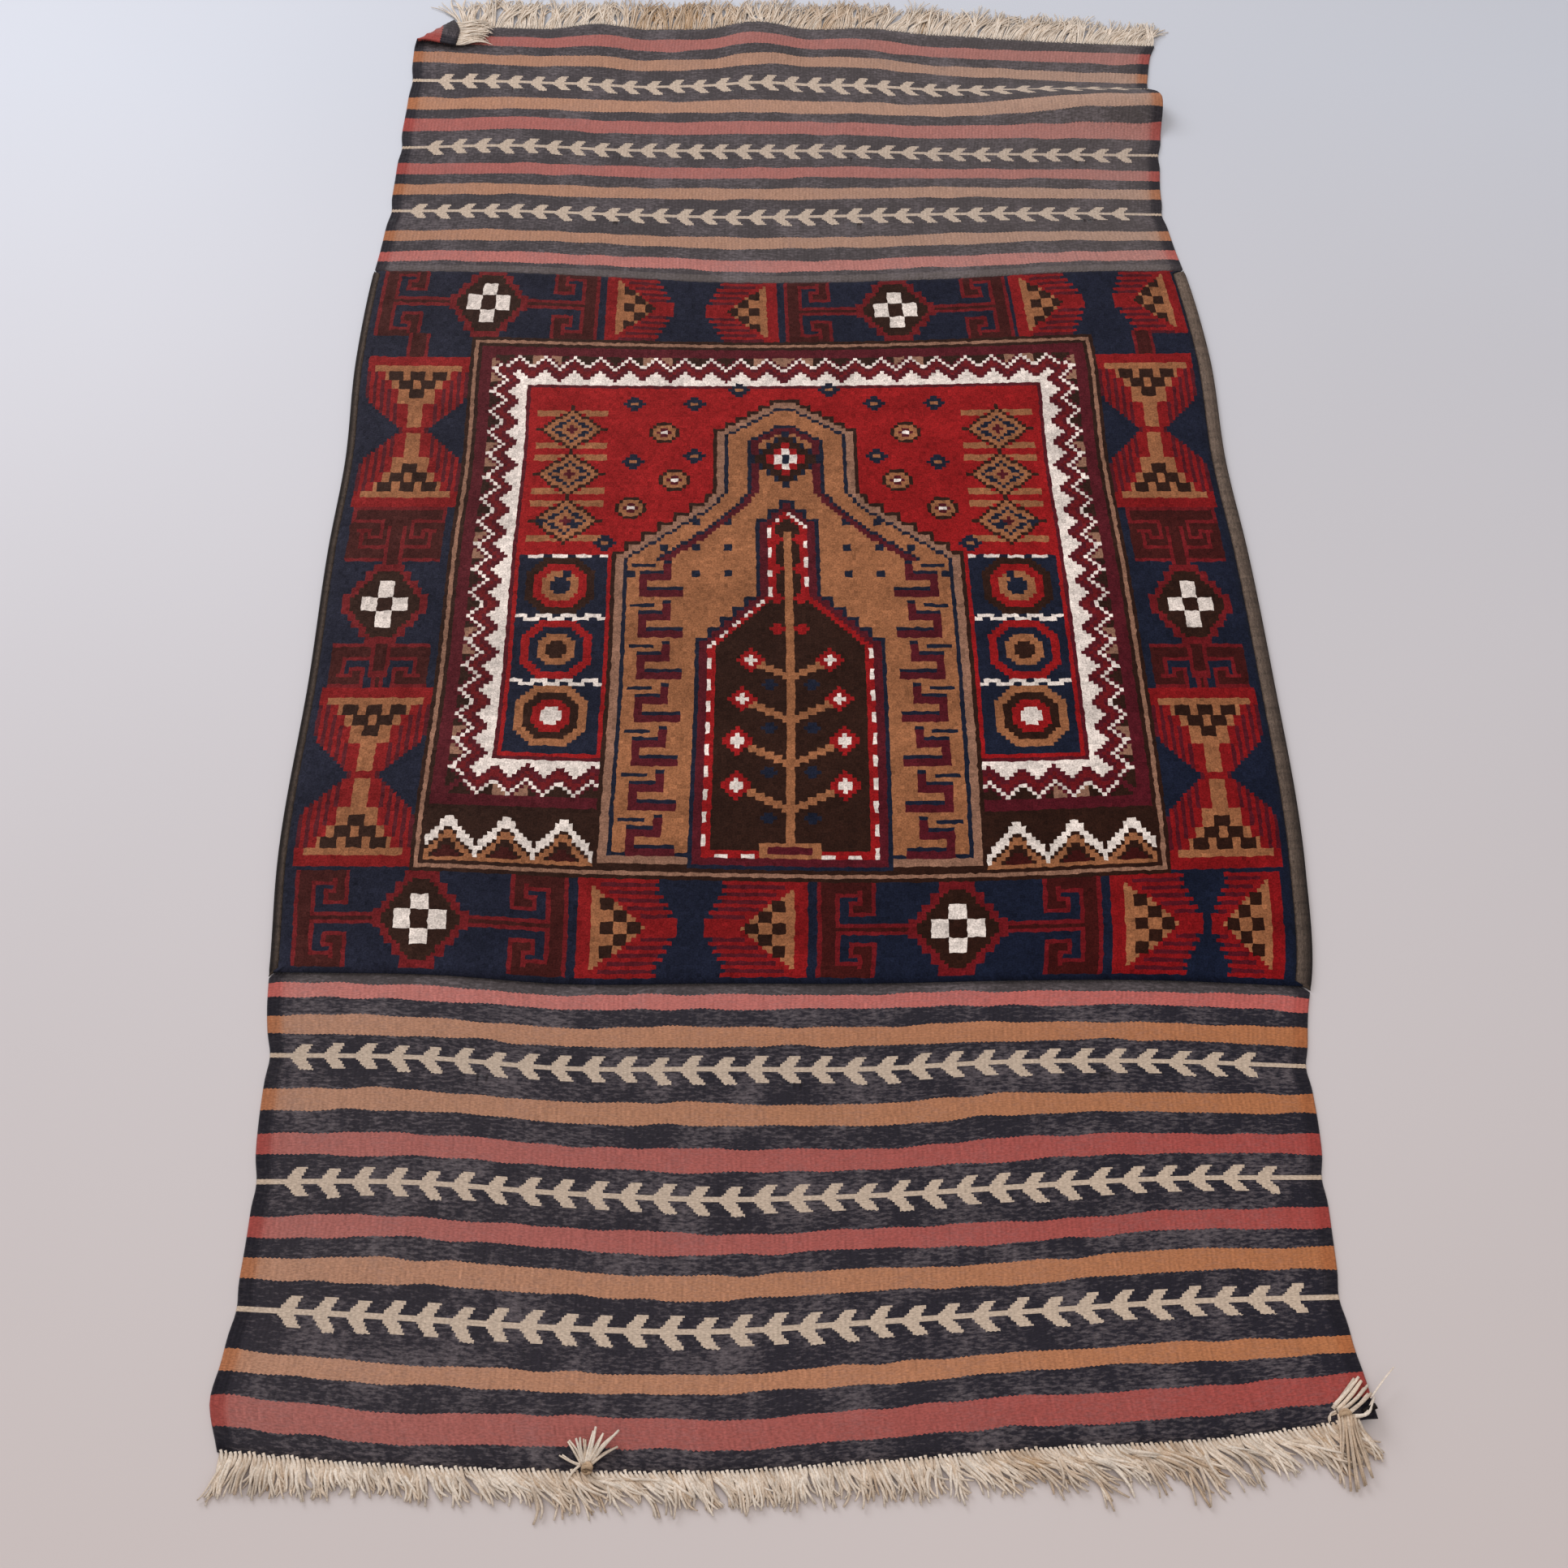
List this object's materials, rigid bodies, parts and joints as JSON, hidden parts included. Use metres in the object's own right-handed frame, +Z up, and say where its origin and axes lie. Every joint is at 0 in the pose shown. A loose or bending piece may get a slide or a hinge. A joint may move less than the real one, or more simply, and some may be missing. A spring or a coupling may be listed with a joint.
{
  "type": "prayer rug",
  "caption": "Hand-knotted prayer rug lying on a floor, with striped flat-woven ends, a fringe at each end, overcast side edges and a folded corner.",
  "frame": {"origin": "on the floor, under the middle of the whole rug with its fringes", "axes": "+X across the rug, +Y along it from the near end to the far end, +Z up from the floor"},
  "size_m": [0.8829, 1.6603, 0.0242],
  "materials": {
    "wool_cloth": "knotted wool pile and flat-woven wool, matt with a soft sheen",
    "wool_fringe": "twisted undyed warp yarn, matt",
    "goat_hair_selvage": "dark hair yarn, overcast, matt"
  },
  "bodies": {
    "root": {"rug_cloth": "wool_cloth", "fringe_near": "wool_fringe", "fringe_far": "wool_fringe", "selvage_left": "goat_hair_selvage", "selvage_right": "goat_hair_selvage"}
  },
  "joints": []
}
